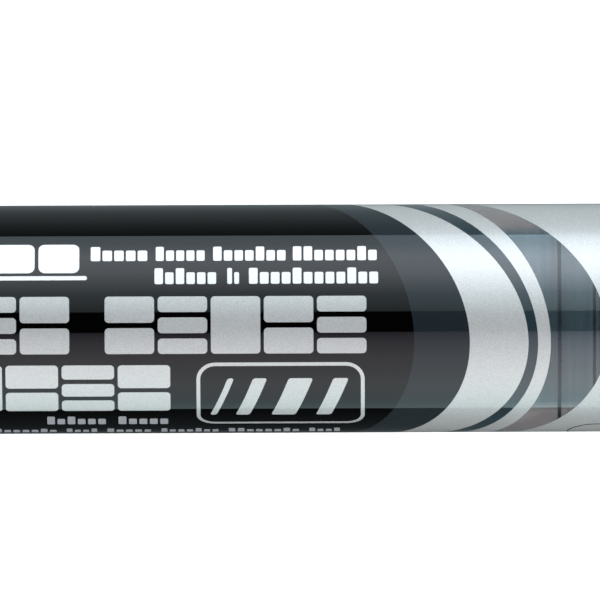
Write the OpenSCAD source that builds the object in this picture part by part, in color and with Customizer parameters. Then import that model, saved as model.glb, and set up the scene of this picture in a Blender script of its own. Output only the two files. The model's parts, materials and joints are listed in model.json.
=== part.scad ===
// Push-button whiteboard marker, lying on its cap's lower flat.
// The marker lies along X, with the cap at -X, the button at +X and the label facing +Z.
// The origin is on the surface it lies on, below the middle of its length.
// Inside the modules, z runs along the marker's axis from the cap's end, and lay() turns it to X.

/* [Barrel] */
// Outside diameter of the barrel over its label
barrel_d = 18; // [17:0.5:24]
// Length of barrel between the nose and the end collar
barrel_len = 83; // [70:1:110]
// Thickness of the barrel's wall
barrel_wall = 1.4; // [1:0.1:1.8]
// Depth of the step that the nose and the tail plug seat on
seat_step = 0.2; // [0.1:0.05:0.4]
// Thickness of the printed label
film_t = 0.1; // [0.05:0.05:0.2]
// Bare barrel left at each end of the label
film_inset = 0.5; // [0.2:0.1:2]

/* [Cap] */
// Length of the cap
cap_len = 44; // [42:1:54]
// How far the cap's flats stand out past the barrel
cap_proud = 0.15; // [0.05:0.05:0.5]
// How far the cap's rounded corners stand out past its flats
cap_corner = 0.6; // [0.3:0.05:0.75]
// Number of flats round the cap
cap_sides = 8; // [6:1:10]
// Length of the part of the cap that has flats
grip_len = 30; // [20:1:34]
// Gap between the cap's mouth and the nose's flange
cap_gap = 0.3; // [0.1:0.1:0.8]
// Thickness of the cap's end wall
cap_end_wall = 2; // [1:0.2:3]
// Diameter of the hole in the cap's end that shows the plug
cap_window_d = 12.4; // [8:0.2:13]
// How far the plug's face is sunk below the cap's end
plug_sunk = 0.4; // [0.2:0.1:1]
// Thickness of the flanges on the end plug and the inner sleeve
cap_flange_t = 1.2; // [0.8:0.1:2]
// Wall of the cap's inner sleeve
sleeve_wall = 1; // [0.6:0.1:1.2]
// Number of stop ribs inside the cap
cap_ribs = 6; // [3:1:10]
// Thickness of a stop rib
rib_t = 1.2; // [0.8:0.1:2]

/* [Nose] */
// How much smaller the cap's neck is than the barrel, in radius
neck_step = 2; // [1.8:0.1:2.4]
// Length of the neck that the cap grips
neck_len = 5.2; // [4:0.1:5.4]
// Thickness of the flange between the cap and the barrel
flange_t = 1.5; // [1:0.1:3]
// Length of the nose in front of its flange
nose_len = 26.3; // [24:0.1:29]
// Length of the nose's skirt inside the barrel
skirt_len = 9; // [7:0.5:16]
// Wall of the nose's skirt
skirt_wall = 1.3; // [0.8:0.1:2]
// Length of the straight tube that grips the nib
tube_len = 4; // [3:0.5:5]
// Wall of that tube
tube_wall = 1.4; // [1:0.1:1.6]
// Wall of the nose at the front of the valve
nose_wall = 0.7; // [0.5:0.05:0.9]
// Wall of the nose at the front of the ink buffer
buffer_wall = 1; // [0.8:0.05:1.2]
// Diameter of the nib
nib_d = 6; // [5:0.1:7.2]
// How far the nib stands out of the nose
nib_out = 9; // [5:0.5:11]
// Length of the whole nib
nib_len = 22; // [18:0.5:26.5]
// Width of the flat edge at the nib's tip
nib_edge = 1.8; // [1:0.1:3]
// Length of the bevels that lead to that edge
nib_bevel_len = 6; // [3:0.5:8]
// Slant of the nib's end face, in degrees
nib_slant = 30; // [0:1:45]

/* [Valve] */
// Wall of the valve housing
valve_wall = 1.05; // [0.8:0.05:1.3]
// Depth of the step that the rubber seat rests on
valve_step = 0.55; // [0.3:0.05:0.8]
// Thickness of the valve housing's floor
valve_floor = 1.2; // [0.8:0.1:2]
// Length of the valve spring when the valve is shut
valve_spring_len = 6.4; // [6.2:0.1:7]
// Radius of the valve spring's wire
valve_wire_r = 0.2; // [0.1:0.05:0.22]
// Thickness of the valve's disc
disc_t = 1.4; // [1:0.1:2]
// Thickness of the rubber seat
seat_t = 1.2; // [0.8:0.1:2]
// Diameter of the hole through the rubber seat
seat_hole_d = 4; // [3.6:0.1:4.4]
// Thickness of the valve cover
cover_t = 1.8; // [1:0.1:3]
// Length of the rod's guide tube behind the cover
guide_len = 6; // [4:0.5:10]
// Length of the valve's stem behind its disc
stem_len = 5; // [4:0.1:6]
// Gap between the stem and the rod at rest
lost_motion = 0.2; // [0.1:0.1:0.5]

/* [Tail] */
// Travel of the button and the valve
travel = 3; // [2:0.1:3.2]
// Gap left under the button's flange when it is pressed home
stop_gap = 0.3; // [0.1:0.1:1]
// Length of the tail plug
plug_len = 4.6; // [4.2:0.1:6]
// Radius of the O-ring's section
o_ring_r = 0.75; // [0.6:0.05:0.9]
// Distance from the plug's front to the middle of the O-ring
o_ring_at = 2.8; // [2.2:0.1:3]
// Thickness of the plug's front wall
plug_front = 1.5; // [1:0.1:1.8]
// Thickness of the washer over the rod seal
washer_t = 0.6; // [0.4:0.1:0.8]
// Depth of the recess that the washer lies in
washer_recess = 1; // [0.8:0.1:1.2]
// Diameter of the push rod
rod_d = 2.5; // [2:0.1:3]
// Outside diameter of the rod seal
rod_seal_d = 6; // [4:0.1:8]
// Length of the end collar that shows
collar_t = 1.6; // [1:0.1:3]
// Length of the end collar inside the barrel
spigot_len = 4; // [2:0.5:6]
// How far the button stands out of the collar
button_out = 8.6; // [8.4:0.1:10]
// Thickness of the button's end
button_top = 2.5; // [1.5:0.1:3]
// Wall of the button
button_wall = 1.3; // [1:0.1:2]
// Thickness of the flange that keeps the button in
button_flange_t = 1.6; // [1:0.1:2]
// Depth of the hollow in the button's end
button_dish = 0.5; // [0:0.1:0.8]
// Length of the boss that holds the rod
boss_len = 9.5; // [6:0.5:11]
// Depth of the rod in that boss
rod_grip = 7; // [4:0.5:9]
// Radius of the button spring's wire
button_wire_r = 0.3; // [0.2:0.05:0.4]

/* [Clearances] */
// Radial gap between pieces that slide on each other
slide_gap = 0.15; // [0.1:0.01:0.2]
// Radial gap round the rod and the stem where they are guided
guide_gap = 0.1; // [0.05:0.01:0.15]
// Radial gap between pieces that are pushed together
push_gap = 0.05; // [0.02:0.01:0.06]
// Size of the small bevels on moulded edges
edge = 0.3; // [0.1:0.1:0.4]

/* [Hidden] */
$fn = 96;

// Radii
barrel_r = barrel_d / 2 - film_t;
bore_r = barrel_r - barrel_wall;
seat_r = bore_r + seat_step;
insert_r = seat_r - push_gap;
neck_r = barrel_d / 2 - neck_step;
mouth_r = neck_r + slide_gap;
flat_r = barrel_d / 2 + cap_proud;
corner_r = flat_r + cap_corner;
nib_r = nib_d / 2;
nib_bore_r = nib_r + push_gap;
tube_r = nib_bore_r + tube_wall;
sleeve_r = tube_r + guide_gap;
taper_front_r = tube_r + 0.6;
taper_back_r = neck_r - 0.7;
rib_in_r = taper_back_r + 0.2;
cap_insert_r = mouth_r - push_gap;
rod_r = rod_d / 2;
guide_r = rod_r + guide_gap;
stem_r = rod_r - 0.15;
seat_hole_r = seat_hole_d / 2;
valve_coil_r = seat_hole_r + 0.3;
washer_r = bore_r - 2.2;
button_coil_r = washer_r - 0.7;
button_cup_r = neck_r - button_wall;
button_flange_r = seat_r - slide_gap;

// Places along the axis, from the cap's end
flange_front = cap_len + cap_gap;
barrel_front = flange_front + flange_t;
barrel_back = barrel_front + barrel_len;
collar_back = barrel_back + collar_t;
total_len = collar_back + button_out;
neck_front = flange_front - neck_len;
tube_front = flange_front - nose_len;
taper_front = tube_front + tube_len;
nib_front = tube_front - nib_out;
nib_back = nib_front + nib_len;
buffer_front = taper_front + 1.5;
valve_front = nib_back;
pocket_front = valve_front + valve_floor;
disc_front = pocket_front + valve_spring_len;
seat_front = disc_front + disc_t;
cover_front = seat_front + seat_t;
cover_back = cover_front + cover_t;
housing_back = cover_back + 2;
stem_back = seat_front + stem_len;
rod_front = stem_back + lost_motion;
nose_room = housing_back + 1.3;
skirt_back = barrel_front + skirt_len;
spigot_front = barrel_back - spigot_len;
button_front = spigot_front - button_flange_t;
plug_back = button_front - travel - stop_gap;
plug_start = plug_back - plug_len;
o_ring_mid = plug_start + o_ring_at;
seal_front = plug_start + plug_front;
washer_front = plug_back - washer_recess;
washer_back = washer_front + washer_t;
button_ceiling = total_len - button_top;
boss_front = button_ceiling - boss_len;
rod_back = boss_front + rod_grip;
cap_plug_back = cap_end_wall + cap_flange_t;
sleeve_floor = cap_plug_back + cap_flange_t;
sleeve_mouth = taper_front - 1;
rib_back = neck_front - edge - 0.2;

// Radius of the nose's taper at a place along the axis
function taper_r(place) =
    taper_front_r + (taper_back_r - taper_front_r)
        * (place - taper_front) / (neck_front - edge - taper_front);

// Radii inside the nose, which follow its taper
buffer_bore_r = taper_r(buffer_front) - buffer_wall;
buffer_r = buffer_bore_r - push_gap;
valve_bore_r = taper_r(valve_front) - nose_wall;
valve_r = valve_bore_r - push_gap;
cover_bore_r = valve_r - valve_wall;
cover_r = cover_bore_r - push_gap;
pocket_r = cover_bore_r - valve_step;
disc_r = pocket_r - 0.5;

// Turns a shape that stands on the cap's end to lie along X, above the surface
module lay() {
    translate([-total_len / 2, 0, flat_r])
        rotate([0, 90, 0])
            children();
}

// A tube from one place on the axis to another
module tube(from, to, inner_r, outer_r) {
    translate([0, 0, from])
        difference() {
            cylinder(h = to - from, r = outer_r);
            translate([0, 0, -1])
                cylinder(h = to - from + 2, r = inner_r);
        }
}

// A solid rod from one place on the axis to another
module rod(from, to, r) {
    translate([0, 0, from])
        cylinder(h = to - from, r = r);
}

// A shape turned from an outline of [radius, place] points
module turned(outline) {
    rotate_extrude()
        polygon(outline);
}

// Copies a shape evenly round the axis
module around(count) {
    for (i = [0 : count - 1])
        rotate([0, 0, 360 * i / count])
            children();
}

// Height of a closed-end spring's wire after t turns
function coil_z(t, turns, len, wire_r) =
    let (
        dead = 1.2,
        shut = 2.1 * wire_r,
        open = (len - 2 * wire_r - 2 * dead * shut) / (turns - 2 * dead)
    )
    wire_r + (t < dead ? t * shut
        : t > turns - dead ? dead * shut + (turns - 2 * dead) * open + (t - turns + dead) * shut
        : dead * shut + (t - dead) * open);

// A compression spring that stands at z = 0
module coil_spring(len, coil_r, wire_r, turns) {
    sides = 8;
    steps = 20 * turns;
    points = [
        for (i = [0 : steps], j = [0 : sides - 1])
            let (
                t = i / 20,
                a = 360 * t,
                b = 360 * j / sides,
                r = coil_r + wire_r * cos(b)
            )
            [r * cos(a), r * sin(a), coil_z(t, turns, len, wire_r) + wire_r * sin(b)]
    ];
    walls = [
        for (i = [0 : steps - 1], j = [0 : sides - 1])
            let (k = (j + 1) % sides)
            [i * sides + j, (i + 1) * sides + j, (i + 1) * sides + k, i * sides + k]
    ];
    ends = [
        [for (j = [0 : sides - 1]) j],
        [for (j = [sides - 1 : -1 : 0]) steps * sides + j]
    ];
    polyhedron(points = points, faces = concat(walls, ends), convexity = 10);
}

// The smoke-clear tube that holds the ink, with a seat at each end
module barrel() {
    color([0.25, 0.3, 0.32, 0.6])
        lay()
            difference() {
                tube(barrel_front, barrel_back, bore_r, barrel_r);
                rod(barrel_front - 1, skirt_back, seat_r);
                rod(plug_start, barrel_back + 1, seat_r);
            }
}

// The printed film wrapped round the barrel
module label_film() {
    color("silver")
        lay()
            tube(barrel_front + film_inset, barrel_back - film_inset, barrel_r, barrel_d / 2);
}

// The front section: tube for the nib, taper, neck for the cap, flange and skirt
module nose() {
    color([0.12, 0.12, 0.13])
        lay()
            difference() {
                turned([
                    [0, tube_front],
                    [tube_r - edge, tube_front],
                    [tube_r, tube_front + edge],
                    [tube_r, taper_front],
                    [taper_front_r, taper_front],
                    [taper_back_r, neck_front - edge],
                    [neck_r - edge, neck_front - edge],
                    [neck_r, neck_front],
                    [neck_r, flange_front],
                    [barrel_r - edge, flange_front],
                    [barrel_r, flange_front + edge],
                    [barrel_r, barrel_front],
                    [insert_r, barrel_front],
                    [insert_r, skirt_back - edge],
                    [insert_r - edge, skirt_back],
                    [0, skirt_back]
                ]);
                rod(tube_front - 1, skirt_back + 1, nib_bore_r);
                rod(buffer_front, skirt_back + 1, buffer_bore_r);
                rod(valve_front, skirt_back + 1, valve_bore_r);
                rod(nose_room, skirt_back + 1, insert_r - skirt_wall);
            }
}

// The felt tip, cut to a slanted chisel edge
module nib() {
    bevel = atan((nib_r - nib_edge / 2) / nib_bevel_len);
    color([0.05, 0.05, 0.06])
        lay()
            difference() {
                rod(nib_front, nib_back, nib_r);
                for (side = [-1, 1])
                    translate([side * nib_edge / 2, 0, nib_front])
                        rotate([0, side * bevel, 0])
                            translate([side * 5 - 5, -10, -10])
                                cube([10, 20, 30]);
                translate([0, nib_r, nib_front])
                    rotate([-nib_slant, 0, 0])
                        translate([-5, -15, -10])
                            cube([10, 20, 10]);
            }
}

// The fibre sleeve round the nib's tail
module ink_buffer() {
    color([0.2, 0.2, 0.22])
        lay()
            tube(buffer_front, valve_front, nib_bore_r, buffer_r);
}

// The cup behind the nib that holds the valve
module valve_housing() {
    color([0.85, 0.85, 0.82])
        lay()
            difference() {
                rod(valve_front, housing_back, valve_r);
                rod(pocket_front, housing_back + 1, pocket_r);
                rod(seat_front, housing_back + 1, cover_bore_r);
                around(5)
                    translate([1.3, 0, 0])
                        rod(valve_front - 1, pocket_front + 1, 0.45);
            }
}

// The rubber ring that the valve closes on
module valve_seat() {
    color([0.1, 0.1, 0.1])
        lay()
            tube(seat_front, cover_front, seat_hole_r, cover_r);
}

// The cover over the seat, with the tube that guides the stem and the rod
module valve_cover() {
    color([0.85, 0.85, 0.82])
        lay()
            difference() {
                union() {
                    rod(cover_front, cover_back, cover_r);
                    rod(cover_front, cover_back + guide_len, guide_r + 0.8);
                }
                rod(cover_front - 1, cover_back + guide_len + 1, guide_r);
                around(4)
                    translate([0, -0.4, cover_front - 1])
                        cube([seat_hole_r, 0.8, cover_t + 1.8]);
            }
}

// The valve's disc, with its stem behind and the spring's guide pin in front
module valve_poppet() {
    color([0.8, 0.8, 0.78])
        lay()
            union() {
                rod(disc_front - travel, disc_front + disc_t / 2, 1.2);
                rod(disc_front, seat_front, disc_r);
                rod(disc_front + disc_t / 2, stem_back, stem_r);
            }
}

// The spring that shuts the valve
module valve_spring() {
    color([0.7, 0.7, 0.72])
        lay()
            translate([0, 0, pocket_front])
                coil_spring(valve_spring_len, valve_coil_r, valve_wire_r, 6);
}

// The rod from the button to the valve
module push_rod() {
    color([0.75, 0.77, 0.78])
        lay()
            turned([
                [0, rod_front],
                [rod_r - edge, rod_front],
                [rod_r, rod_front + edge],
                [rod_r, rod_back],
                [0, rod_back]
            ]);
}

// The rubber ring that seals the rod in the tail plug
module rod_seal() {
    color([0.1, 0.1, 0.1])
        lay()
            tube(seal_front, washer_front, rod_r + push_gap, rod_seal_d / 2 - push_gap);
}

// The washer that holds the rod seal and seats the button's spring
module seal_washer() {
    color([0.75, 0.76, 0.78])
        lay()
            tube(washer_front, washer_back, guide_r + guide_gap, washer_r);
}

// The plug that closes the ink reservoir, with its groove for the O-ring
module tail_plug() {
    groove_r = seat_r - 2 * o_ring_r - push_gap;
    color([0.2, 0.22, 0.24])
        lay()
            difference() {
                rod(plug_start, plug_back, insert_r);
                tube(o_ring_mid - o_ring_r - 0.05, o_ring_mid + o_ring_r + 0.05, groove_r, seat_r + 1);
                rod(plug_start - 1, plug_back + 1, guide_r);
                rod(seal_front, plug_back + 1, rod_seal_d / 2);
                rod(washer_front, plug_back + 1, washer_r + push_gap);
            }
}

// The rubber ring between the plug and the barrel
module tail_o_ring() {
    color([0.05, 0.05, 0.05])
        lay()
            translate([0, 0, o_ring_mid])
                rotate_extrude()
                    translate([seat_r - o_ring_r, 0])
                        circle(r = o_ring_r - 0.01);
}

// The spring that returns the button
module button_spring() {
    color([0.7, 0.7, 0.72])
        lay()
            translate([0, 0, washer_back])
                coil_spring(button_ceiling - washer_back, button_coil_r, button_wire_r, 9);
}

// The broad push button: a cup with a flange that keeps it in and a boss for the rod
module button() {
    round_r = 1;
    color([0.1, 0.1, 0.11])
        lay()
            difference() {
                turned(concat(
                    [
                        [0, button_front],
                        [button_flange_r, button_front],
                        [button_flange_r, spigot_front],
                        [neck_r, spigot_front]
                    ],
                    [
                        for (a = [0 : 15 : 90])
                            [neck_r - round_r + round_r * cos(a), total_len - round_r + round_r * sin(a)]
                    ],
                    [
                        [neck_r - round_r - 1, total_len],
                        [0, total_len - button_dish]
                    ]
                ));
                tube(button_front - 1, button_ceiling, guide_r + 1.2, button_cup_r);
                rod(button_front - 1, boss_front, guide_r + 1.3);
                rod(boss_front - 1, rod_back, rod_r + 0.02);
            }
}

// The ring that keeps the button in the barrel
module end_collar() {
    color([0.1, 0.1, 0.11])
        lay()
            difference() {
                turned([
                    [0, spigot_front],
                    [insert_r, spigot_front],
                    [insert_r, barrel_back],
                    [barrel_r, barrel_back],
                    [barrel_r, collar_back - edge],
                    [barrel_r - edge, collar_back],
                    [0, collar_back]
                ]);
                rod(spigot_front - 1, collar_back + 1, mouth_r);
            }
}

// The outer cap, with flats outside and stop ribs inside
module cap_shell() {
    slope = corner_r - barrel_d / 2 + 1;
    color([0.1, 0.1, 0.11])
        lay()
            difference() {
                intersection() {
                    turned([
                        [0, 0],
                        [corner_r - 1.2, 0],
                        [corner_r, 1.2],
                        [corner_r, grip_len],
                        [barrel_d / 2, grip_len + slope],
                        [barrel_d / 2, cap_len - edge],
                        [barrel_d / 2 - edge, cap_len],
                        [0, cap_len]
                    ]);
                    rotate([0, 0, 180 / cap_sides])
                        cylinder(h = cap_len, r = flat_r / cos(180 / cap_sides), $fn = cap_sides);
                }
                rod(-1, cap_len, cap_window_d / 2);
                difference() {
                    rod(cap_end_wall, cap_len + 1, mouth_r);
                    around(cap_ribs)
                        translate([rib_in_r, -rib_t / 2, sleeve_floor])
                            cube([mouth_r, rib_t, rib_back - sleeve_floor]);
                }
            }
}

// The soft cup inside the cap that closes round the nose
module cap_inner() {
    color([0.85, 0.85, 0.85])
        lay()
            difference() {
                union() {
                    rod(cap_plug_back, sleeve_floor, cap_insert_r);
                    rod(cap_plug_back, sleeve_mouth, sleeve_r + sleeve_wall);
                }
                rod(sleeve_floor, sleeve_mouth + 1, sleeve_r);
            }
}

// The plug in the cap's end
module cap_end_plug() {
    color([0.03, 0.03, 0.03])
        lay()
            turned([
                [0, plug_sunk],
                [cap_window_d / 2 - push_gap - edge, plug_sunk],
                [cap_window_d / 2 - push_gap, plug_sunk + edge],
                [cap_window_d / 2 - push_gap, cap_end_wall],
                [cap_insert_r, cap_end_wall],
                [cap_insert_r, cap_plug_back],
                [0, cap_plug_back]
            ]);
}

barrel();
label_film();
nose();
nib();
ink_buffer();
valve_housing();
valve_seat();
valve_cover();
valve_poppet();
valve_spring();
push_rod();
rod_seal();
seal_washer();
tail_plug();
tail_o_ring();
button_spring();
button();
end_collar();
cap_shell();
cap_inner();
cap_end_plug();
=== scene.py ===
"""Looks for the push-button whiteboard marker: its printed label, ink window, plastics,
felt nib, springs and seals, on a pale studio floor."""

import json
import math

import bmesh
import bpy
import mathutils.noise
from mathutils import Matrix, Vector


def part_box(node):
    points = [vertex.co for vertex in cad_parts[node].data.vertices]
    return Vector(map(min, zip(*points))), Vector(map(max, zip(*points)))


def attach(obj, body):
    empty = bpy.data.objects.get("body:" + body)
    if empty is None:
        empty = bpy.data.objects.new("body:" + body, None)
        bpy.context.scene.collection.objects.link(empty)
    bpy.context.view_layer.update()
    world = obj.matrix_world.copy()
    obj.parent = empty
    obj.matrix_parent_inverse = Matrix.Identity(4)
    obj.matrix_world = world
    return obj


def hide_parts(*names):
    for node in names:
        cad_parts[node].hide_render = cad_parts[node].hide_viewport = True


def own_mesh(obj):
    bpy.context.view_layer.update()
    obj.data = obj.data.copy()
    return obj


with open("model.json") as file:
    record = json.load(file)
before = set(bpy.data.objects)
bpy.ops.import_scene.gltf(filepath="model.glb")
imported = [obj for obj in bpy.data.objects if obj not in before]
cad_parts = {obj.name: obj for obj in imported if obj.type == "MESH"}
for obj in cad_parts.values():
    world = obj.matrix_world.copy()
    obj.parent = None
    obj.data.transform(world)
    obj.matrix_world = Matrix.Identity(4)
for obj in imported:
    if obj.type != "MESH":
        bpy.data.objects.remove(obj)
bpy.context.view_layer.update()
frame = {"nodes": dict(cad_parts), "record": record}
nodes = frame["nodes"]
scene = bpy.context.scene

MM = 0.001
TAU = 2 * math.pi

# ---------------------------------------------------------------- places taken from the frame

film_lo, film_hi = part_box("label_film")
nib_lo, nib_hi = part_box("nib")
cap_lo, cap_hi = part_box("cap_shell")
nose_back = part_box("nose")[1].x
plug_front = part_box("tail_plug")[0].x

AXIS_Z = (film_lo.z + film_hi.z) / 2
LABEL_R = (film_hi.z - film_lo.z) / 2

# The middle of the view is a little in front of the tail plug's front edge.
VIEW_X = plug_front - 20.3 * MM
VIEW_Y = 1.47 * MM
VIEW_WIDTH = 47.3 * MM  # at the depth of the axis


# ---------------------------------------------------------------- stage: camera, floor, lights


def tree_of(owner):
    """Empties an owner's node tree and gives its nodes and its links."""
    owner.use_nodes = True
    tree = owner.node_tree
    tree.nodes.clear()
    return tree.nodes, tree.links


def make_camera():
    """Looks straight down on the label through a long lens."""
    distance = 1.5
    tilt = math.radians(-0.22)
    data = bpy.data.cameras.new("camera")
    data.sensor_width = 36
    data.lens = data.sensor_width * distance / VIEW_WIDTH
    data.clip_start = 0.01
    data.clip_end = 20
    camera = bpy.data.objects.new("camera", data)
    camera.location = (VIEW_X, VIEW_Y, AXIS_Z + distance)
    camera.rotation_euler = (0, 0, tilt)
    scene.collection.objects.link(camera)
    scene.camera = camera


def make_floor():
    """A pale acrylic floor, lit a little from below so that shadows on it stay soft."""
    reach = 3.0
    mesh = bpy.data.meshes.new("floor")
    corners = [(-reach, -reach, 0), (reach, -reach, 0), (reach, reach, 0), (-reach, reach, 0)]
    mesh.from_pydata(corners, [], [(0, 1, 2, 3)])
    floor = bpy.data.objects.new("floor", mesh)
    scene.collection.objects.link(floor)
    floor.visible_glossy = False
    material = bpy.data.materials.new("floor")
    n, links = tree_of(material)
    out = n.new("ShaderNodeOutputMaterial")
    surface = n.new("ShaderNodeBsdfPrincipled")
    surface.inputs["Base Color"].default_value = (0.8, 0.8, 0.8, 1)
    surface.inputs["Roughness"].default_value = 0.9
    surface.inputs["Specular IOR Level"].default_value = 0.1
    surface.inputs["Emission Color"].default_value = (1, 1, 1, 1)
    surface.inputs["Emission Strength"].default_value = 0.72
    links.new(surface.outputs[0], out.inputs[0])
    mesh.materials.append(material)


def make_world():
    """A dim room, darkest overhead and in front, lit low down behind, with a plain pale backdrop."""
    world = bpy.data.worlds.new("room")
    scene.world = world
    n, links = tree_of(world)
    out = n.new("ShaderNodeOutputWorld")
    mix = n.new("ShaderNodeMixShader")
    place = n.new("ShaderNodeTexCoord")
    split = n.new("ShaderNodeSeparateXYZ")
    height = value_between(n, links, split.outputs["Z"], 0.006, 1.0, 0.15, -0.5)
    side = value_between(n, links, split.outputs["Y"], 0.06, 0.3, -0.5, 0.5)
    strength = n.new("ShaderNodeMath")
    strength.operation = "MULTIPLY"
    room = n.new("ShaderNodeBackground")
    room.inputs["Color"].default_value = (0.8, 0.95, 1.0, 1)
    backdrop = n.new("ShaderNodeBackground")
    backdrop.inputs["Color"].default_value = (1, 1, 1, 1)
    rays = n.new("ShaderNodeLightPath")
    links.new(place.outputs["Generated"], split.inputs[0])
    links.new(height, strength.inputs[0])
    links.new(side, strength.inputs[1])
    links.new(strength.outputs[0], room.inputs["Strength"])
    links.new(rays.outputs["Is Camera Ray"], mix.inputs[0])
    links.new(room.outputs[0], mix.inputs[1])
    links.new(backdrop.outputs[0], mix.inputs[2])
    links.new(mix.outputs[0], out.inputs[0])


def light_object(name, data):
    """A lamp that lights the marker but isn't itself seen."""
    lamp = bpy.data.objects.new(name, data)
    lamp.rotation_mode = "QUATERNION"
    lamp.visible_camera = False
    scene.collection.objects.link(lamp)
    return lamp


def make_softbox(name, near, far, brightest, stops):
    """A long panel beside the marker, from one angle off the zenith to another, in degrees towards +Y.

    stops are (share of the way, colour) from the near edge to the far one, as shares of the brightest."""
    distance = 0.9
    length = 2.4
    centre = Vector((VIEW_X, 0, AXIS_Z))
    a, b = (
        centre + distance * Vector((0, math.sin(math.radians(d)), math.cos(math.radians(d))))
        for d in (near, far)
    )
    data = bpy.data.lights.new(name, "AREA")
    data.shape = "RECTANGLE"
    data.size = length
    data.size_y = (b - a).length
    data.energy = data.size * data.size_y * math.pi
    n, links = tree_of(data)
    out = n.new("ShaderNodeOutputLight")
    emission = n.new("ShaderNodeEmission")
    emission.inputs["Strength"].default_value = brightest
    place = n.new("ShaderNodeNewGeometry")
    split = n.new("ShaderNodeSeparateXYZ")
    ramp = n.new("ShaderNodeValToRGB")
    ramp.color_ramp.interpolation = "LINEAR"
    elements = ramp.color_ramp.elements
    while len(elements) < len(stops):
        elements.new(0.5)
    for element, (share, colour) in zip(elements, stops):
        element.position = share
        element.color = (*colour, 1)
    links.new(place.outputs["Parametric"], split.inputs[0])
    links.new(split.outputs["Y"], ramp.inputs[0])
    links.new(ramp.outputs[0], emission.inputs[0])
    links.new(emission.outputs[0], out.inputs[0])
    middle = (a + b) / 2
    x_axis, y_axis = Vector((1, 0, 0)), (b - a).normalized()
    if x_axis.cross(y_axis).dot(middle - centre) < 0:  # a lamp shines along its own -Z
        x_axis = -x_axis
    z_axis = x_axis.cross(y_axis)
    lamp = light_object(name, data)
    lamp.location = middle
    lamp.rotation_quaternion = Matrix((x_axis, y_axis, z_axis)).transposed().to_quaternion()


def make_end_light(name, side):
    """A weak panel past one end of the marker, for the views that show its ends."""
    data = bpy.data.lights.new(name, "AREA")
    data.shape = "SQUARE"
    data.size = 0.8
    data.energy = 2.0
    lamp = light_object(name, data)
    lamp.location = (side * 1.2, -0.3, 0.7)
    lamp.rotation_quaternion = lamp.location.to_track_quat("Z", "Y")


# ---------------------------------------------------------------- mesh helpers


def add_piece(name, mesh, material, body, replaces=(), crease=35):
    """Puts a mesh in the scene as a smooth piece with one material, riding on a body."""
    for polygon in mesh.polygons:
        polygon.use_smooth = True
    mesh.set_sharp_from_angle(angle=math.radians(crease))
    piece = bpy.data.objects.new(name, mesh)
    scene.collection.objects.link(piece)
    mesh.materials.append(material)
    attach(piece, body)
    if replaces:
        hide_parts(*replaces)
    return piece


def finished(bm, name):
    """A mesh from a bmesh, with its faces turned outwards."""
    bmesh.ops.recalc_face_normals(bm, faces=bm.faces)
    mesh = bpy.data.meshes.new(name)
    bm.to_mesh(mesh)
    bm.free()
    return mesh


def around_axis(x, angle, radius):
    """A point about the marker's axis: the angle is from the top, positive towards -Y."""
    return (x, -radius * math.sin(angle), AXIS_Z + radius * math.cos(angle))


def rounded(corners, closed=False, steps=6):
    """An outline of points from corners given as (x, r, fillet). An open one keeps its ends sharp."""
    points = []
    count = len(corners)
    for i, corner in enumerate(corners):
        here = Vector(corner[:2])
        fillet = corner[2]
        if not fillet or (not closed and i in (0, count - 1)):
            points.append(here)
            continue
        before = Vector(corners[i - 1][:2]) - here
        after = Vector(corners[(i + 1) % count][:2]) - here
        u, v = before / before.length, after / after.length
        half = u.angle(v) / 2
        cut = min(fillet / math.tan(half), 0.45 * before.length, 0.45 * after.length)
        radius = cut * math.tan(half)
        middle = u + v
        centre = here + middle / middle.length * (radius / math.sin(half))
        start, end = here + u * cut - centre, here + v * cut - centre
        first = math.atan2(start.y, start.x)
        sweep = (math.atan2(end.y, end.x) - first + math.pi) % TAU - math.pi
        for k in range(steps + 1):
            a = first + sweep * k / steps
            points.append(centre + radius * Vector((math.cos(a), math.sin(a))))
    return points


def soft_least(a, b, reach):
    """The lesser of two lengths, with a rounded change from one to the other."""
    return min(a, b) - max(reach - abs(a - b), 0) ** 2 / (4 * reach)


def skin_between(bm, rings, closed=False):
    """Joins each ring of vertices to the next. A ring of one vertex is a point on the axis."""
    pairs = list(zip(rings, rings[1:]))
    if closed:
        pairs.append((rings[-1], rings[0]))
    for a, b in pairs:
        count = max(len(a), len(b))
        for k in range(count):
            m = (k + 1) % count
            if len(a) == 1:
                bm.faces.new((a[0], b[k], b[m]))
            elif len(b) == 1:
                bm.faces.new((a[k], b[0], a[m]))
            else:
                bm.faces.new((a[k], b[k], b[m], a[m]))


def lathe_mesh(name, corners, closed=True, segments=192, steps=5, limit=None):
    """A mesh turned about the marker's axis. An open outline starts and ends on the axis.

    limit gives the furthest that the surface may stand from the axis at an angle."""
    blend = 0.15 * MM
    bm = bmesh.new()
    rings = []
    for x, r in rounded(corners, closed, steps):
        if r < 1e-7:
            rings.append([bm.verts.new((x, 0, AXIS_Z))])
            continue
        ring = []
        for k in range(segments):
            angle = TAU * k / segments
            reach = r if limit is None else soft_least(r, limit(angle), blend)
            ring.append(bm.verts.new(around_axis(x, angle, reach)))
        rings.append(ring)
    skin_between(bm, rings, closed)
    return finished(bm, name)


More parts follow.
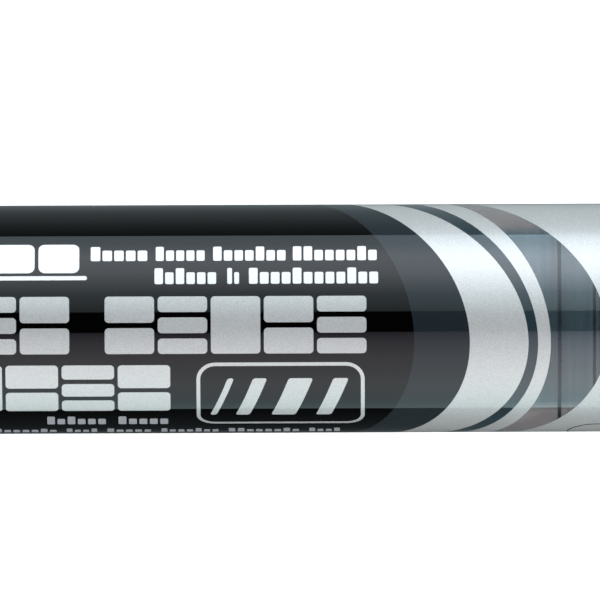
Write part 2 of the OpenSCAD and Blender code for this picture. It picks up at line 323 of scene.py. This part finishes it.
def half_section(node, turn=0.0):
    """The outline of a CAD node in a half-plane from the axis, as (x, r) corners, and whether it closes."""
    least_step = 0.002  # in mm
    least_bend = math.radians(1)
    bm = bmesh.new()
    bm.from_mesh(nodes[node].data)
    bmesh.ops.remove_doubles(bm, verts=bm.verts, dist=1e-7)
    centre = Vector((0, 0, AXIS_Z))
    up = Vector((0, -math.sin(turn), math.cos(turn)))
    side = Vector((0, math.cos(turn), math.sin(turn)))
    known = [(v.co.x, math.hypot(v.co.y, v.co.z - AXIS_Z)) for v in bm.verts]
    whole = bm.verts[:] + bm.edges[:] + bm.faces[:]
    bmesh.ops.bisect_plane(bm, geom=whole, dist=1e-8, plane_co=centre, plane_no=up, clear_inner=True)
    whole = bm.verts[:] + bm.edges[:] + bm.faces[:]
    cut = bmesh.ops.bisect_plane(bm, geom=whole, dist=1e-8, plane_co=centre, plane_no=side)["geom_cut"]
    linked = {}
    for edge in (e for e in cut if isinstance(e, bmesh.types.BMEdge)):
        a, b = edge.verts
        linked.setdefault(a, []).append(b)
        linked.setdefault(b, []).append(a)
    ends = [v for v, others in linked.items() if len(others) == 1]
    path = [ends[0] if ends else next(iter(linked))]
    while True:
        onward = [v for v in linked[path[-1]] if v not in path[-2:-1]]
        if not onward or onward[0] is path[0]:
            break
        path.append(onward[0])
    points = []
    for vert in path:
        x, r = vert.co.x, (vert.co - centre).dot(up)
        exact = [b for a, b in known if abs(a - x) < 1e-6 and abs(b - r) < 0.02 * MM]
        point = Vector((x, 0 if r < 1e-6 else max(exact, default=r))) / MM
        if not points or (point - points[-1]).length > least_step:
            points.append(point)
    bm.free()
    closed = not ends
    corners = []
    for i, point in enumerate(points):
        inside = closed or 0 < i < len(points) - 1
        before, after = point - points[i - 1], points[(i + 1) % len(points)] - point
        if not inside or before.angle(after) > least_bend:
            corners.append((point.x * MM, point.y * MM))
    return corners, closed


def sheet_into(bm, rows, inner, outer, whole=False):
    """Adds a thin closed shell on the label. rows are (angle, [x, ...]) with as many places in each."""
    below, above = (
        [[bm.verts.new(around_axis(x, angle, radius)) for x in places] for angle, places in rows]
        for radius in (inner, outer)
    )
    count, columns = len(rows), len(rows[0][1]) - 1
    for i in range(count if whole else count - 1):
        k = (i + 1) % count
        for j in range(columns):
            bm.faces.new((above[i][j], above[i][j + 1], above[k][j + 1], above[k][j]))
            bm.faces.new((below[i][j], below[k][j], below[k][j + 1], below[i][j + 1]))
        bm.faces.new((above[i][0], above[k][0], below[k][0], below[i][0]))
        bm.faces.new((above[i][-1], below[i][-1], below[k][-1], above[k][-1]))
    if not whole:
        for j in range(columns):
            bm.faces.new((above[0][j], below[0][j], below[0][j + 1], above[0][j + 1]))
            bm.faces.new((above[-1][j], above[-1][j + 1], below[-1][j + 1], below[-1][j]))


def band_mesh(name, left, right, inner, outer, start=-math.pi, end=math.pi, steps=360, columns=8):
    """A band of the label between two edges, each a function of the angle."""
    whole = end - start > TAU - 1e-6
    rows = []
    for i in range(steps if whole else steps + 1):
        angle = start + (end - start) * i / steps
        a, b = left(angle), right(angle)
        rows.append((angle, [a + (b - a) * j / columns for j in range(columns + 1)]))
    bm = bmesh.new()
    sheet_into(bm, rows, inner, outer, whole)
    return finished(bm, name)


# ---------------------------------------------------------------- materials

ACRYLIC_IOR = 1.49


def principled(name, colour, roughness, metallic=0.0, coat=0.0, ior=1.5, specular=0.5):
    """A material with one Principled shader, its nodes, its links and the shader."""
    material = bpy.data.materials.new(name)
    n, links = tree_of(material)
    out = n.new("ShaderNodeOutputMaterial")
    surface = n.new("ShaderNodeBsdfPrincipled")
    surface.inputs["Base Color"].default_value = (*colour, 1)
    surface.inputs["Roughness"].default_value = roughness
    surface.inputs["Metallic"].default_value = metallic
    surface.inputs["Coat Weight"].default_value = coat
    surface.inputs["Coat Roughness"].default_value = 0.01
    surface.inputs["Coat IOR"].default_value = 1.5
    surface.inputs["IOR"].default_value = ior
    surface.inputs["Specular IOR Level"].default_value = specular
    links.new(surface.outputs[0], out.inputs[0])
    return material, n, links, surface


def noise(n, links, scale, detail=2.0, stretch=(1, 1, 1)):
    """A noise texture in the part's own frame; scale is in cells per metre."""
    place = n.new("ShaderNodeTexCoord")
    mapping = n.new("ShaderNodeMapping")
    mapping.inputs["Scale"].default_value = stretch
    texture = n.new("ShaderNodeTexNoise")
    texture.inputs["Scale"].default_value = scale
    texture.inputs["Detail"].default_value = detail
    links.new(place.outputs["Object"], mapping.inputs[0])
    links.new(mapping.outputs[0], texture.inputs["Vector"])
    return texture.outputs["Fac"]


def colour_between(n, links, factor, low, high, from_low=0.3, from_high=0.7):
    """A colour ramp driven by a value."""
    ramp = n.new("ShaderNodeValToRGB")
    ramp.color_ramp.elements[0].position = from_low
    ramp.color_ramp.elements[0].color = (*low, 1)
    ramp.color_ramp.elements[1].position = from_high
    ramp.color_ramp.elements[1].color = (*high, 1)
    links.new(factor, ramp.inputs[0])
    return ramp.outputs[0]


def value_between(n, links, factor, low, high, from_low=0.3, from_high=0.7):
    """A number driven by a value."""
    remap = n.new("ShaderNodeMapRange")
    remap.inputs["From Min"].default_value = from_low
    remap.inputs["From Max"].default_value = from_high
    remap.inputs["To Min"].default_value = low
    remap.inputs["To Max"].default_value = high
    links.new(factor, remap.inputs["Value"])
    return remap.outputs[0]


def bump(n, links, height, strength, distance):
    """A bump normal from a height, whose full range is distance metres."""
    node = n.new("ShaderNodeBump")
    node.inputs["Strength"].default_value = strength
    node.inputs["Distance"].default_value = distance
    links.new(height, node.inputs["Height"])
    return node.outputs[0]


def drive_colour(n, links, surface, factor, low, high):
    """Lets a value choose a shader's colour between two colours."""
    links.new(colour_between(n, links, factor, low, high), surface.inputs["Base Color"])


def drive_roughness(n, links, surface, factor, low, high):
    """Lets a value choose a shader's roughness between two numbers."""
    links.new(value_between(n, links, factor, low, high), surface.inputs["Roughness"])


def ink(name, colour, roughness, metallic, spread, grain=9000, specular=0.5):
    """Ink under clear varnish, with a fine grain in its colour and shine."""
    material, n, links, surface = principled(name, colour, roughness, metallic, 1.0, specular=specular)
    fine = noise(n, links, grain, 3)
    low = tuple(c * (1 - spread) for c in colour)
    high = tuple(min(1, c * (1 + spread)) for c in colour)
    drive_colour(n, links, surface, fine, low, high)
    drive_roughness(n, links, surface, fine, roughness - 0.05, roughness + 0.05)
    return material


def moulded(name, colour, roughness, grain=0.004):
    """Moulded plastic with slow changes in shine and colour. grain is its spark-eroded depth in mm."""
    material, n, links, surface = principled(name, colour, roughness)
    fine = noise(n, links, 7000, 4)
    slow = noise(n, links, 160, 2)
    high = tuple(c * 1.25 + 0.003 for c in colour)
    drive_colour(n, links, surface, slow, colour, high)
    drive_roughness(n, links, surface, slow, roughness - 0.04, roughness + 0.05)
    links.new(bump(n, links, fine, 0.25, grain * MM), surface.inputs["Normal"])
    return material


def rings_round(n, links, scale):
    """A noise drawn out round the marker, so that it makes faint rings, as a mould leaves them."""
    return noise(n, links, scale, 2, (1, 0.03, 0.03))


def clear_plastic(name, colour):
    """Clear tinted plastic with faint rings round it."""
    material, n, links, surface = principled(name, colour, 0.0, ior=ACRYLIC_IOR)
    surface.inputs["Transmission Weight"].default_value = 1.0
    rings = rings_round(n, links, 700)
    low = tuple(c * 0.75 for c in colour)
    high = tuple(min(1, c * 1.15) for c in colour)
    drive_colour(n, links, surface, rings, low, high)
    return material


def window_plastic(name, middle, side, clearness):
    """The ink window: smoky plastic with rings round it, with painted light at the marker's sides, where
    its colour turns pale as if lit through the clear wall.
    """
    material, n, links, surface = principled(name, middle, 0.0, coat=1.0, ior=ACRYLIC_IOR)
    painted_light_starts, painted_light_full = 6.5 * MM, 7.3 * MM
    surface.inputs["Coat IOR"].default_value = 1.65
    surface.inputs["Transmission Weight"].default_value = clearness
    rings = rings_round(n, links, 900)
    darker = tuple(c * 0.8 for c in middle)
    lighter = tuple(c * 1.5 for c in middle)
    smoky = colour_between(n, links, rings, darker, lighter)
    place = n.new("ShaderNodeTexCoord")
    split = n.new("ShaderNodeSeparateXYZ")
    across = n.new("ShaderNodeMath")
    across.operation = "ABSOLUTE"
    links.new(place.outputs["Object"], split.inputs[0])
    links.new(split.outputs["Y"], across.inputs[0])
    # Painted light: from 6.5 to 7.3 mm off the axis in Y, the colour turns to the pale side colour, which
    # stands in for light through the clear wall.
    mix = n.new("ShaderNodeMix")
    mix.data_type = "RGBA"
    share = value_between(n, links, across.outputs[0], 0, 1, painted_light_starts, painted_light_full)
    links.new(share, mix.inputs["Factor"])
    links.new(smoky, mix.inputs["A"])
    mix.inputs["B"].default_value = (*side, 1)
    links.new(mix.outputs["Result"], surface.inputs["Base Color"])
    return material


def rubber(name):
    """Black rubber with a fine matt skin."""
    material, n, links, surface = principled(name, (0.012, 0.012, 0.013), 0.45, specular=0.4)
    fine = noise(n, links, 5000, 3)
    drive_roughness(n, links, surface, fine, 0.38, 0.55)
    links.new(bump(n, links, fine, 0.3, 0.005 * MM), surface.inputs["Normal"])
    return material


def felt(name, colour):
    """Ink-soaked felt: fibres along the nib, matted and a little shiny where wet."""
    material, n, links, surface = principled(name, colour, 0.8, specular=0.3)
    fibres = noise(n, links, 3500, 5, (0.12, 1, 1))
    clumps = noise(n, links, 900, 3, (0.5, 1, 1))
    high = tuple(c * 2.2 + 0.01 for c in colour)
    drive_colour(n, links, surface, fibres, colour, high)
    drive_roughness(n, links, surface, clumps, 0.55, 0.95)
    links.new(bump(n, links, fibres, 0.8, 0.05 * MM), surface.inputs["Normal"])
    return material


def steel(name, roughness):
    """Bright steel, streaked along the marker by drawing."""
    material, n, links, surface = principled(name, (0.62, 0.62, 0.63), roughness, 1.0)
    drawn = noise(n, links, 2500, 4, (0.2, 1, 1))
    drive_roughness(n, links, surface, drawn, roughness - 0.08, roughness + 0.1)
    drive_colour(n, links, surface, drawn, (0.5, 0.5, 0.51), (0.68, 0.68, 0.69))
    return material


silver = ink("silver_ink", (0.64, 0.64, 0.615), 0.46, 0.6, 0.12)
black = ink("black_ink", (0.0008, 0.0008, 0.001), 0.6, 0.0, 0.2, specular=0.0)
smoke = ink("smoke_ink", (0.010, 0.016, 0.019), 0.5, 0.0, 0.15, specular=0.1)
ring = ink("ring_ink", (0.021, 0.037, 0.044), 0.08, 0.0, 0.06)
white = ink("white_ink", (0.86, 0.86, 0.86), 0.5, 0.0, 0.02)
grey = ink("grey_ink", (0.32, 0.33, 0.34), 0.5, 0.0, 0.05)
# The window's pale second colour is painted light at its sides.
window_smoke_and_painted_light = window_plastic("window_smoke_and_painted_light", (0.17, 0.25, 0.28), (0.54, 0.5, 0.49), 0.8)
# Not print: a dark ink used as painted shade for the dark strips in the window.
window_shade_line = ink("window_shade_line", (0.008, 0.013, 0.017), 0.3, 0.0, 0.2)
smoke_clear = clear_plastic("smoke_clear", (0.62, 0.72, 0.74))
black_gloss = moulded("black_gloss", (0.006, 0.006, 0.007), 0.22)
black_satin = moulded("black_satin", (0.009, 0.009, 0.01), 0.36, 0.008)
plug_grey = moulded("plug_grey", (0.09, 0.125, 0.135), 0.4)
natural = moulded("natural_plastic", (0.62, 0.62, 0.59), 0.45)
soft_natural = moulded("soft_plastic", (0.66, 0.66, 0.64), 0.5)
seal_rubber = rubber("seal_rubber")
wet_ink = ink("wet_ink", (0.075, 0.105, 0.115), 0.4, 0.0, 0.2, grain=600)
nib_felt = felt("nib_felt", (0.006, 0.006, 0.007))
buffer_felt = felt("buffer_felt", (0.03, 0.03, 0.035))
wire = steel("spring_wire", 0.28)
plate = steel("washer_steel", 0.35)


# ---------------------------------------------------------------- the stage itself

scene.view_settings.view_transform = "Standard"
make_camera()
make_floor()
make_world()
make_softbox(
    "softbox_back",
    7,
    93,
    3.6,
    [
        (0.0, (0.1, 0.12, 0.12)),
        (0.25, (0.2, 0.24, 0.26)),
        (0.5, (0.57, 0.61, 0.66)),
        (0.65, (0.62, 0.67, 0.74)),
        (0.82, (0.39, 0.46, 0.51)),
        (1.0, (0.28, 0.35, 0.39)),
    ],
)
make_softbox(
    "softbox_front",
    -13.5,
    -103,
    1.6,
    [
        (0.0, (0.21, 0.2, 0.24)),
        (0.16, (0.45, 0.44, 0.5)),
        (0.35, (0.68, 0.67, 0.72)),
        (0.6, (0.79, 0.84, 0.87)),
        (0.85, (0.55, 0.71, 0.75)),
        (1.0, (0.6, 0.79, 0.82)),
    ],
)
make_end_light("end_light_cap", -1)
make_end_light("end_light_button", 1)


# ---------------------------------------------------------------- label

INK_IN = LABEL_R - 0.05 * MM
INK_OUT = LABEL_R - 0.006 * MM
MARK_IN = LABEL_R - 0.003 * MM
MARK_OUT = LABEL_R


def slanted(vertex, depth, turn):
    """An edge where a slanted plane would cut the label: vertex and depth in mm, turn in radians."""

    def edge(angle):
        return VIEW_X + (vertex - depth * (1 - math.cos(angle - turn))) * MM

    return edge


label_turn = 0.22
black_edge = slanted(8.94, 6.7, 0.20)
smoke_edge = slanted(13.3, 8.2, label_turn)
ring_front = slanted(17.9, 9.6, label_turn)
ring_back = slanted(18.65, 8.4, label_turn)
window_front = slanted(19.65, 7.0, label_turn)
window_open = slanted(24.1, 9.9, 0.17)


def window_back(angle):
    """The window narrows round the marker and closes before the back."""
    return max(window_open(angle), window_front(angle))


def mirrored(edge):
    """The same curve at the label's other end."""
    return lambda angle: film_lo.x + film_hi.x - edge(angle) - 2 * MM


def label_start(angle):
    """The label's edge at the cap, the same all round."""
    return film_lo.x


def label_end(angle):
    """The label's edge at the button, the same all round."""
    return film_hi.x


def field(name, left, right, material, columns=8):
    """One printed colour of the label, all the way round."""
    mesh = band_mesh(name, left, right, INK_IN, INK_OUT, columns=columns)
    return add_piece(name, mesh, material, "barrel")


start_silver_edge = mirrored(slanted(29.5, 6.5, label_turn))
start_smoke_edge = mirrored(slanted(27.2, 6.0, label_turn))
field("label_start_silver", label_start, start_silver_edge, silver)
field("label_start_smoke", start_silver_edge, start_smoke_edge, smoke)
field("label_black_field", start_smoke_edge, black_edge, black, columns=40)
field("label_smoke_field", black_edge, smoke_edge, smoke)
field("label_silver_field", smoke_edge, ring_front, silver)
field("label_ring_field", ring_front, ring_back, ring, columns=2)
field("label_thin_silver", ring_back, window_front, silver, columns=2)
field("label_end_silver", window_back, label_end, silver, columns=12)


def window_part(name, low, high, material, replaces=()):
    """The part of the window between two places along the marker, in mm from the middle of the view."""
    first, last = VIEW_X + low * MM, VIEW_X + high * MM

    def left(angle):
        return max(window_front(angle), first)

    def right(angle):
        return min(window_open(angle), last)

    open_at = [a / 200 for a in range(-628, 629) if right(a / 200) - left(a / 200) > 0.02 * MM]
    mesh = band_mesh(name, left, right, INK_IN, INK_OUT, start=min(open_at), end=max(open_at), steps=240)
    add_piece(name, mesh, material, "barrel", replaces)


window_part("label_window", 0, 20.2, window_smoke_and_painted_light, ["label_film"])
# Painted shade: dark strips on the window film where the tail plug's front edge and a ring inside cast thin
# shadows.
window_part("plug_edge_painted_shade", 20.2, 20.5, window_shade_line)
window_part("label_window_middle", 20.5, 22.95, window_smoke_and_painted_light)
window_part("ring_edge_painted_shade", 22.95, 23.2, window_shade_line)
window_part("label_window_end", 23.2, 30, window_smoke_and_painted_light)


# ---------------------------------------------------------------- marks printed on the label
# Places on the label are in mm: x from the middle of the view, v round the label from its top line,
# positive towards -Y. All the print is plain blocks and bars.


def at_view(x):
    """A place along the marker, from mm off the middle of the view."""
    return VIEW_X + x * MM


def tile_into(bm, left, right, top, bottom, corner=0.15, lean=0.0):
    """Adds a tile with rounded corners, leaning by a share of its height."""
    longest = 0.25  # so that the tile bends round the label
    corner = min(corner, 0.49 * (right - left), 0.5 * (bottom - top))
    turns = [corner * (1 - math.cos(math.pi * k / 8)) for k in range(5)]
    straight = bottom - top - 2 * corner
    steps = max(1, math.ceil(straight / longest))
    places = [top + t for t in turns]
    places += [top + corner + straight * k / steps for k in range(1, steps)]
    places += [bottom - t for t in reversed(turns)]
    if straight < 1e-6:
        places.pop(5)
    rows = []
    for v in places:
        depth = min(v - top, bottom - v, corner)
        inset = corner - math.sqrt(max(corner**2 - (corner - depth) ** 2, 0))
        shift = lean * (v - (top + bottom) / 2)
        rows.append((v * MM / LABEL_R, [at_view(left + inset + shift), at_view(right - inset + shift)]))
    sheet_into(bm, rows, MARK_IN, MARK_OUT)


def stroke_into(bm, path, width):
    """Adds a line along a closed path of (x, v) points."""
    count = len(path)
    rings = []
    for i, point in enumerate(path):
        ahead = path[(i + 1) % count] - path[i - 1]
        across = Vector((-ahead.y, ahead.x)).normalized() * width / 2
        ring = []
        for side, radius in ((1, MARK_IN), (1, MARK_OUT), (-1, MARK_OUT), (-1, MARK_IN)):
            x, v = point + side * across
            ring.append(bm.verts.new(around_axis(at_view(x), v * MM / LABEL_R, radius)))
        rings.append(ring)
    for a, b in zip(rings, rings[1:] + rings[:1]):
        for k in range(4):
            bm.faces.new((a[k], b[k], b[(k + 1) % 4], a[(k + 1) % 4]))


def box_path(left, right, top, bottom, corner):
    """A closed path round a box with rounded corners, with points close enough to follow the label."""
    longest = 0.25
    corners = [(left, top, corner), (right, top, corner), (right, bottom, corner), (left, bottom, corner)]
    points = rounded(corners, closed=True)
    path = []
    for a, b in zip(points, points[1:] + points[:1]):
        steps = max(1, math.ceil((b - a).length / longest))
        path += [a + (b - a) * k / steps for k in range(steps)]
    return path


def run_into(bm, left, right, top, bottom, pitch=0.86, gap=0.17):
    """Adds a run of small plain tiles, some of them tall."""
    low_share = 0.27  # how far a low tile stays under a tall one
    count = max(2, round((right - left) / pitch))
    step = (right - left) / count
    for k in range(count):
        tall = k == 0 or (k * 7 + count) % 5 == 0
        upper = top if tall else top + low_share * (bottom - top)
        tile_into(bm, left + k * step, left + (k + 1) * step - gap, upper, bottom, 0.12)


def blocks_into(bm, right, count, pitch, top, bottom, stripes):
    """Adds a row of broad blocks, each of one, two or three bars, ending at the right."""
    gap = 0.42
    between = 0.28
    for k in range(count):
        edge = right - k * pitch
        bars = stripes[k % len(stripes)]
        height = (bottom - top - gap * (bars - 1)) / bars
        for j in range(bars):
            start = top + j * (height + gap)
            tile_into(bm, edge - pitch + between, edge, start, start + height, 0.3)


def add_mark(name, material, draw):
    """Makes one printed mark from a function that draws it."""
    bm = bmesh.new()
    draw(bm)
    return add_piece(name, finished(bm, name), material, "barrel")


def draw_emblem(bm):
    """A row of plain tiles over a thin bar."""
    tile, pitch = 3.2, 3.5
    for k in range(6):
        right = -17.3 - pitch * k
        tile_into(bm, right - tile, right, -6.4, -3.75, 0.5)
    tile_into(bm, -38.1, -16.7, -3.5, -3.15, 0.15)


def draw_small_print(bm):
    """Two short rows of small tiles."""
    for left, right in ((-16.4, -11.8), (-11.3, -7.3), (-6.8, -0.95), (-0.55, 6.2)):
        run_into(bm, left, right, -6.15, -4.8)
    for left, right in ((-11.4, -6.4), (-5.7, -4.6), (-4.0, 6.3)):
        run_into(bm, left, right, -4.15, -2.8)


def draw_headline(bm):
    """Three groups of broad blocks in two rows."""
    blocks_into(bm, 5.2, 5, 4.16, -1.8, 2.76, (3, 2, 1, 3, 2))
    blocks_into(bm, -18.1, 5, 4.16, -1.8, 2.76, (2, 3, 2, 1, 3))
    blocks_into(bm, -10.2, 6, 4.4, 3.7, 8.3, (2, 3, 2, 1, 3, 2))


def draw_use_box(bm):
    """A rounded outline with four slanted strokes in it."""
    stroke_into(bm, box_path(-8.0, 4.9, 3.65, 10.2, 1.3), 0.3)
    for left, width in ((-6.4, 0.5), (-4.4, 1.1), (-1.6, 1.9), (1.9, 1.2)):
        tile_into(bm, left, left + width, 4.9, 8.9, 0.2, -0.35)


def draw_caption(bm):
    """Two groups of small tiles under the headline."""
    for left, right in ((-19.9, -15.1), (-14.3, -10.2)):
        run_into(bm, left, right, 9.1, 10.4, 0.82, 0.2)


def draw_instructions(bm):
    """Rows of small tiles down the label's side, in groups of four lengths."""
    height, line, space = 1.15, 1.95, 0.6
    for row in range(7):
        top = 11.4 + line * row
        left = -37.5
        for k in range(9 - row % 2):
            width = 2.6 + 2.1 * ((k * 5 + row * 3) % 4) / 2
            run_into(bm, left, left + width, top, top + height, 0.72, 0.2)
            left += width + space


def draw_badge(bm):
    """A thin ring near the button."""
    stroke_into(bm, box_path(21.0, 25.9, 10.75, 15.65, 2.45), 0.12)


def draw_seam(bm):
    """The line opposite the middle of the print, where the label's ends meet."""
    half_turn = math.pi * LABEL_R / MM
    half_line = 0.06
    left, right = ((x - VIEW_X) / MM for x in (film_lo.x, film_hi.x))
    tile_into(bm, left, right, half_turn - half_line, half_turn + half_line, 0.02)


add_mark("mark_emblem", white, draw_emblem)
add_mark("mark_small_print", white, draw_small_print)
add_mark("mark_headline", silver, draw_headline)
add_mark("mark_use_box", silver, draw_use_box)
add_mark("mark_caption", grey, draw_caption)
add_mark("mark_instructions", grey, draw_instructions)
add_mark("mark_badge", black, draw_badge)
add_mark("label_seam", grey, draw_seam)


# ---------------------------------------------------------------- turned pieces

BODY_OF = {n: body for body, members in frame["record"]["behaviour"]["bodies"].items() for n in members}

TURNED = {  # node: its material and the radius of its rounded edges in mm
    "barrel": (smoke_clear, 0.08),
    "nose": (black_satin, 0.3),
    "ink_buffer": (buffer_felt, 0.1),
    "valve_seat": (seal_rubber, 0.08),
    "valve_poppet": (natural, 0.15),
    "push_rod": (natural, 0.2),
    "rod_seal": (seal_rubber, 0.1),
    "seal_washer": (plate, 0.12),
    "tail_plug": (plug_grey, 0.15),
    "tail_o_ring": (seal_rubber, 0),
    "button": (black_gloss, 0.35),
    "end_collar": (black_gloss, 0.3),
    "cap_inner": (soft_natural, 0.2),
    "cap_end_plug": (black_gloss, 0.3),
}


def make_turned(node, material, fillet):
    """A finely turned copy of a CAD node, with its edges rounded."""
    outline, closed = half_section(node)
    corners = [(x, r, fillet * MM) for x, r in outline]
    name = f"turned_{node}"
    mesh = lathe_mesh(name, corners, closed)
    return add_piece(name, mesh, material, BODY_OF[node], [node])


for node, (material, fillet) in TURNED.items():
    make_turned(node, material, fillet)


WALL_R = 7.47 * MM  # just inside the barrel's wall


def make_inside_ring(name, front, back, depth, material):
    """A thin ring against the inside of the barrel, between two places along it."""
    corners = ((front, WALL_R), (back, WALL_R), (back, WALL_R - depth), (front, WALL_R - depth))
    outline = [(x, r, 0.04 * MM) for x, r in corners]
    add_piece(name, lathe_mesh(name, outline, steps=3), material, "barrel")


lip_front, lip_back = plug_front - 0.26 * MM, plug_front - 0.02 * MM
ink_front, ink_back = nose_back + 0.1 * MM, plug_front - 0.3 * MM
make_inside_ring("tail_plug_lip", lip_front, lip_back, 0.3 * MM, seal_rubber)
make_inside_ring("ink_on_wall", ink_front, ink_back, 0.08 * MM, wet_ink)


# ---------------------------------------------------------------- cap


def make_cap():
    """The cap's shell: rounded flats that run out into a round mouth, and stop ribs inside."""
    sides, ribs = 8, 6
    close = 0.05 * MM
    flat_r = cap_hi.z - AXIS_Z
    around = [(v.co.x, math.hypot(v.co.y, v.co.z - AXIS_Z)) for v in nodes["cap_shell"].data.vertices]
    corner_r = max(r for x, r in around)
    grip_end = max(x for x, r in around if r > corner_r - close)
    slope_end = min(x for x, r in around if x > grip_end and abs(r - LABEL_R) < close)
    plain = half_section("cap_shell", math.radians(90))[0]
    mouth_r = min(r for x, r in plain if x > slope_end)
    hole_r = min(r for x, r in plain)
    wall_back = max(x for x, r in plain if r < hole_r + 0.01 * MM)
    outline = [
        (cap_lo.x, hole_r, 0.25 * MM),
        (cap_lo.x, corner_r, 1.5 * MM),
        (grip_end, corner_r, 2.5 * MM),
        (slope_end, LABEL_R, 2.5 * MM),
        (cap_hi.x, LABEL_R, 0.35 * MM),
        (cap_hi.x, mouth_r, 0.2 * MM),
        (wall_back, mouth_r, 0.2 * MM),
        (wall_back, hole_r, 0.1 * MM),
    ]

    def to_flat(angle):
        side = TAU / sides
        return flat_r / math.cos((angle + side / 2) % side - side / 2)

    mesh = lathe_mesh("cap_body", outline, segments=480, steps=8, limit=to_flat)
    add_piece("cap_body", mesh, black_satin, "cap", ["cap_shell"])

    on_rib = half_section("cap_shell")[0]
    ribbed = [(x, r) for x, r in on_rib if hole_r + 2 * close < r < mouth_r - 2 * close]
    rib_in = min(r for x, r in ribbed)
    rib_start, rib_end = min(x for x, r in ribbed), max(x for x, r in ribbed)
    half_rib = 0.6 * MM
    rib_root = 0.3 * MM  # how far a rib reaches into the wall
    bm = bmesh.new()
    for k in range(ribs):
        box = bmesh.ops.create_cube(bm, size=1)["verts"]
        for v in box:
            x = rib_start if v.co.x < 0 else rib_end
            r = rib_in if v.co.z < 0 else mouth_r + rib_root
            v.co = (x, math.copysign(half_rib, v.co.y), AXIS_Z + r)
        spin = Matrix.Rotation(TAU * k / ribs, 3, "X")
        bmesh.ops.rotate(bm, verts=box, cent=(0, 0, AXIS_Z), matrix=spin)
    bmesh.ops.bevel(bm, geom=bm.edges[:], offset=0.15 * MM, segments=3, affect="EDGES", profile=0.5)
    add_piece("cap_ribs", finished(bm, "cap_ribs"), black_satin, "cap")


make_cap()


# ---------------------------------------------------------------- nib


def make_nib():
    """The felt nib: a rod with two bevels and a slanted end, its edges worn round, its skin matted."""
    radius = (nib_hi.y - nib_lo.y) / 2
    length = nib_hi.x - nib_lo.x
    half_edge = 0.9 * MM
    bevel_length = 6 * MM
    bevel = (radius - half_edge) / bevel_length
    slant = math.tan(math.radians(30))
    worn = 0.4 * MM
    fuzz = 0.03 * MM
    fibres_along, fibres_across = 350, 2600  # in cells per metre
    segments = 160
    end_steps = 6
    body_steps = 90

    # Each station is how far it lies behind the slanted end, and its share of the full radius.
    stations = [(0.0, share) for share in (0.0, 0.3, 0.6, 0.78)]
    for k in range(end_steps + 1):
        turn = math.pi / 2 / end_steps * k
        stations.append((worn * (1 - math.cos(turn)), 1 - worn / radius * (1 - math.sin(turn))))
    for k in range(1, body_steps + 1):
        stations.append((worn + (length - worn) * (k / body_steps) ** 1.3, 1.0))
    bm = bmesh.new()
    rings = []
    for behind, share in stations:
        if share == 0:
            rings.append([bm.verts.new((nib_lo.x + radius * slant, 0, AXIS_Z))])
            continue
        ring = []
        for k in range(segments):
            angle = TAU * k / segments
            reach = radius
            for _ in range(3):  # the bevel's depth and the slanted end's place depend on each other
                y = -reach * share * math.sin(angle)
                x = nib_lo.x + behind + (radius - y) * slant * (1 - behind / length)
                half = half_edge + (x - nib_lo.x) * bevel
                reach = soft_least(radius, half / max(abs(math.cos(angle)), 0.001), worn)
            y, z = reach * math.sin(angle), reach * math.cos(angle)
            place = Vector((x * fibres_along, y * fibres_across, z * fibres_across))
            reach -= fuzz * (0.5 + 0.5 * mathutils.noise.noise(place))
            ring.append(bm.verts.new(around_axis(x, angle, reach * share)))
        rings.append(ring)
    skin_between(bm, rings)
    bm.faces.new(rings[-1])
    add_piece("nib_felt_tip", finished(bm, "nib_felt_tip"), nib_felt, "barrel", ["nib"], crease=50)


make_nib()


# ---------------------------------------------------------------- springs


def make_spring(node, material):
    """A rounder copy of a spring."""
    same_face = 0.7  # radians
    bm = bmesh.new()
    bm.from_mesh(nodes[node].data)
    bmesh.ops.remove_doubles(bm, verts=bm.verts, dist=1e-7)
    bmesh.ops.join_triangles(
        bm, faces=bm.faces, angle_face_threshold=same_face, angle_shape_threshold=same_face
    )
    mesh = finished(bm, f"round_{node}")
    form = bpy.data.objects.new("spring_form", mesh)
    scene.collection.objects.link(form)
    form.modifiers.new("subdivide", "SUBSURF").levels = 1
    bpy.context.view_layer.update()
    evaluated = form.evaluated_get(bpy.context.evaluated_depsgraph_get())
    smooth = bpy.data.meshes.new_from_object(evaluated)
    bpy.data.objects.remove(form)
    smooth.materials.clear()
    piece = add_piece(f"round_{node}", smooth, material, "barrel", [node], crease=80)
    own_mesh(piece)


make_spring("button_spring", wire)
make_spring("valve_spring", wire)


# ---------------------------------------------------------------- CAD nodes that stay

for node in ("valve_housing", "valve_cover"):
    mesh = nodes[node].data
    mesh.materials.clear()
    mesh.materials.append(natural)
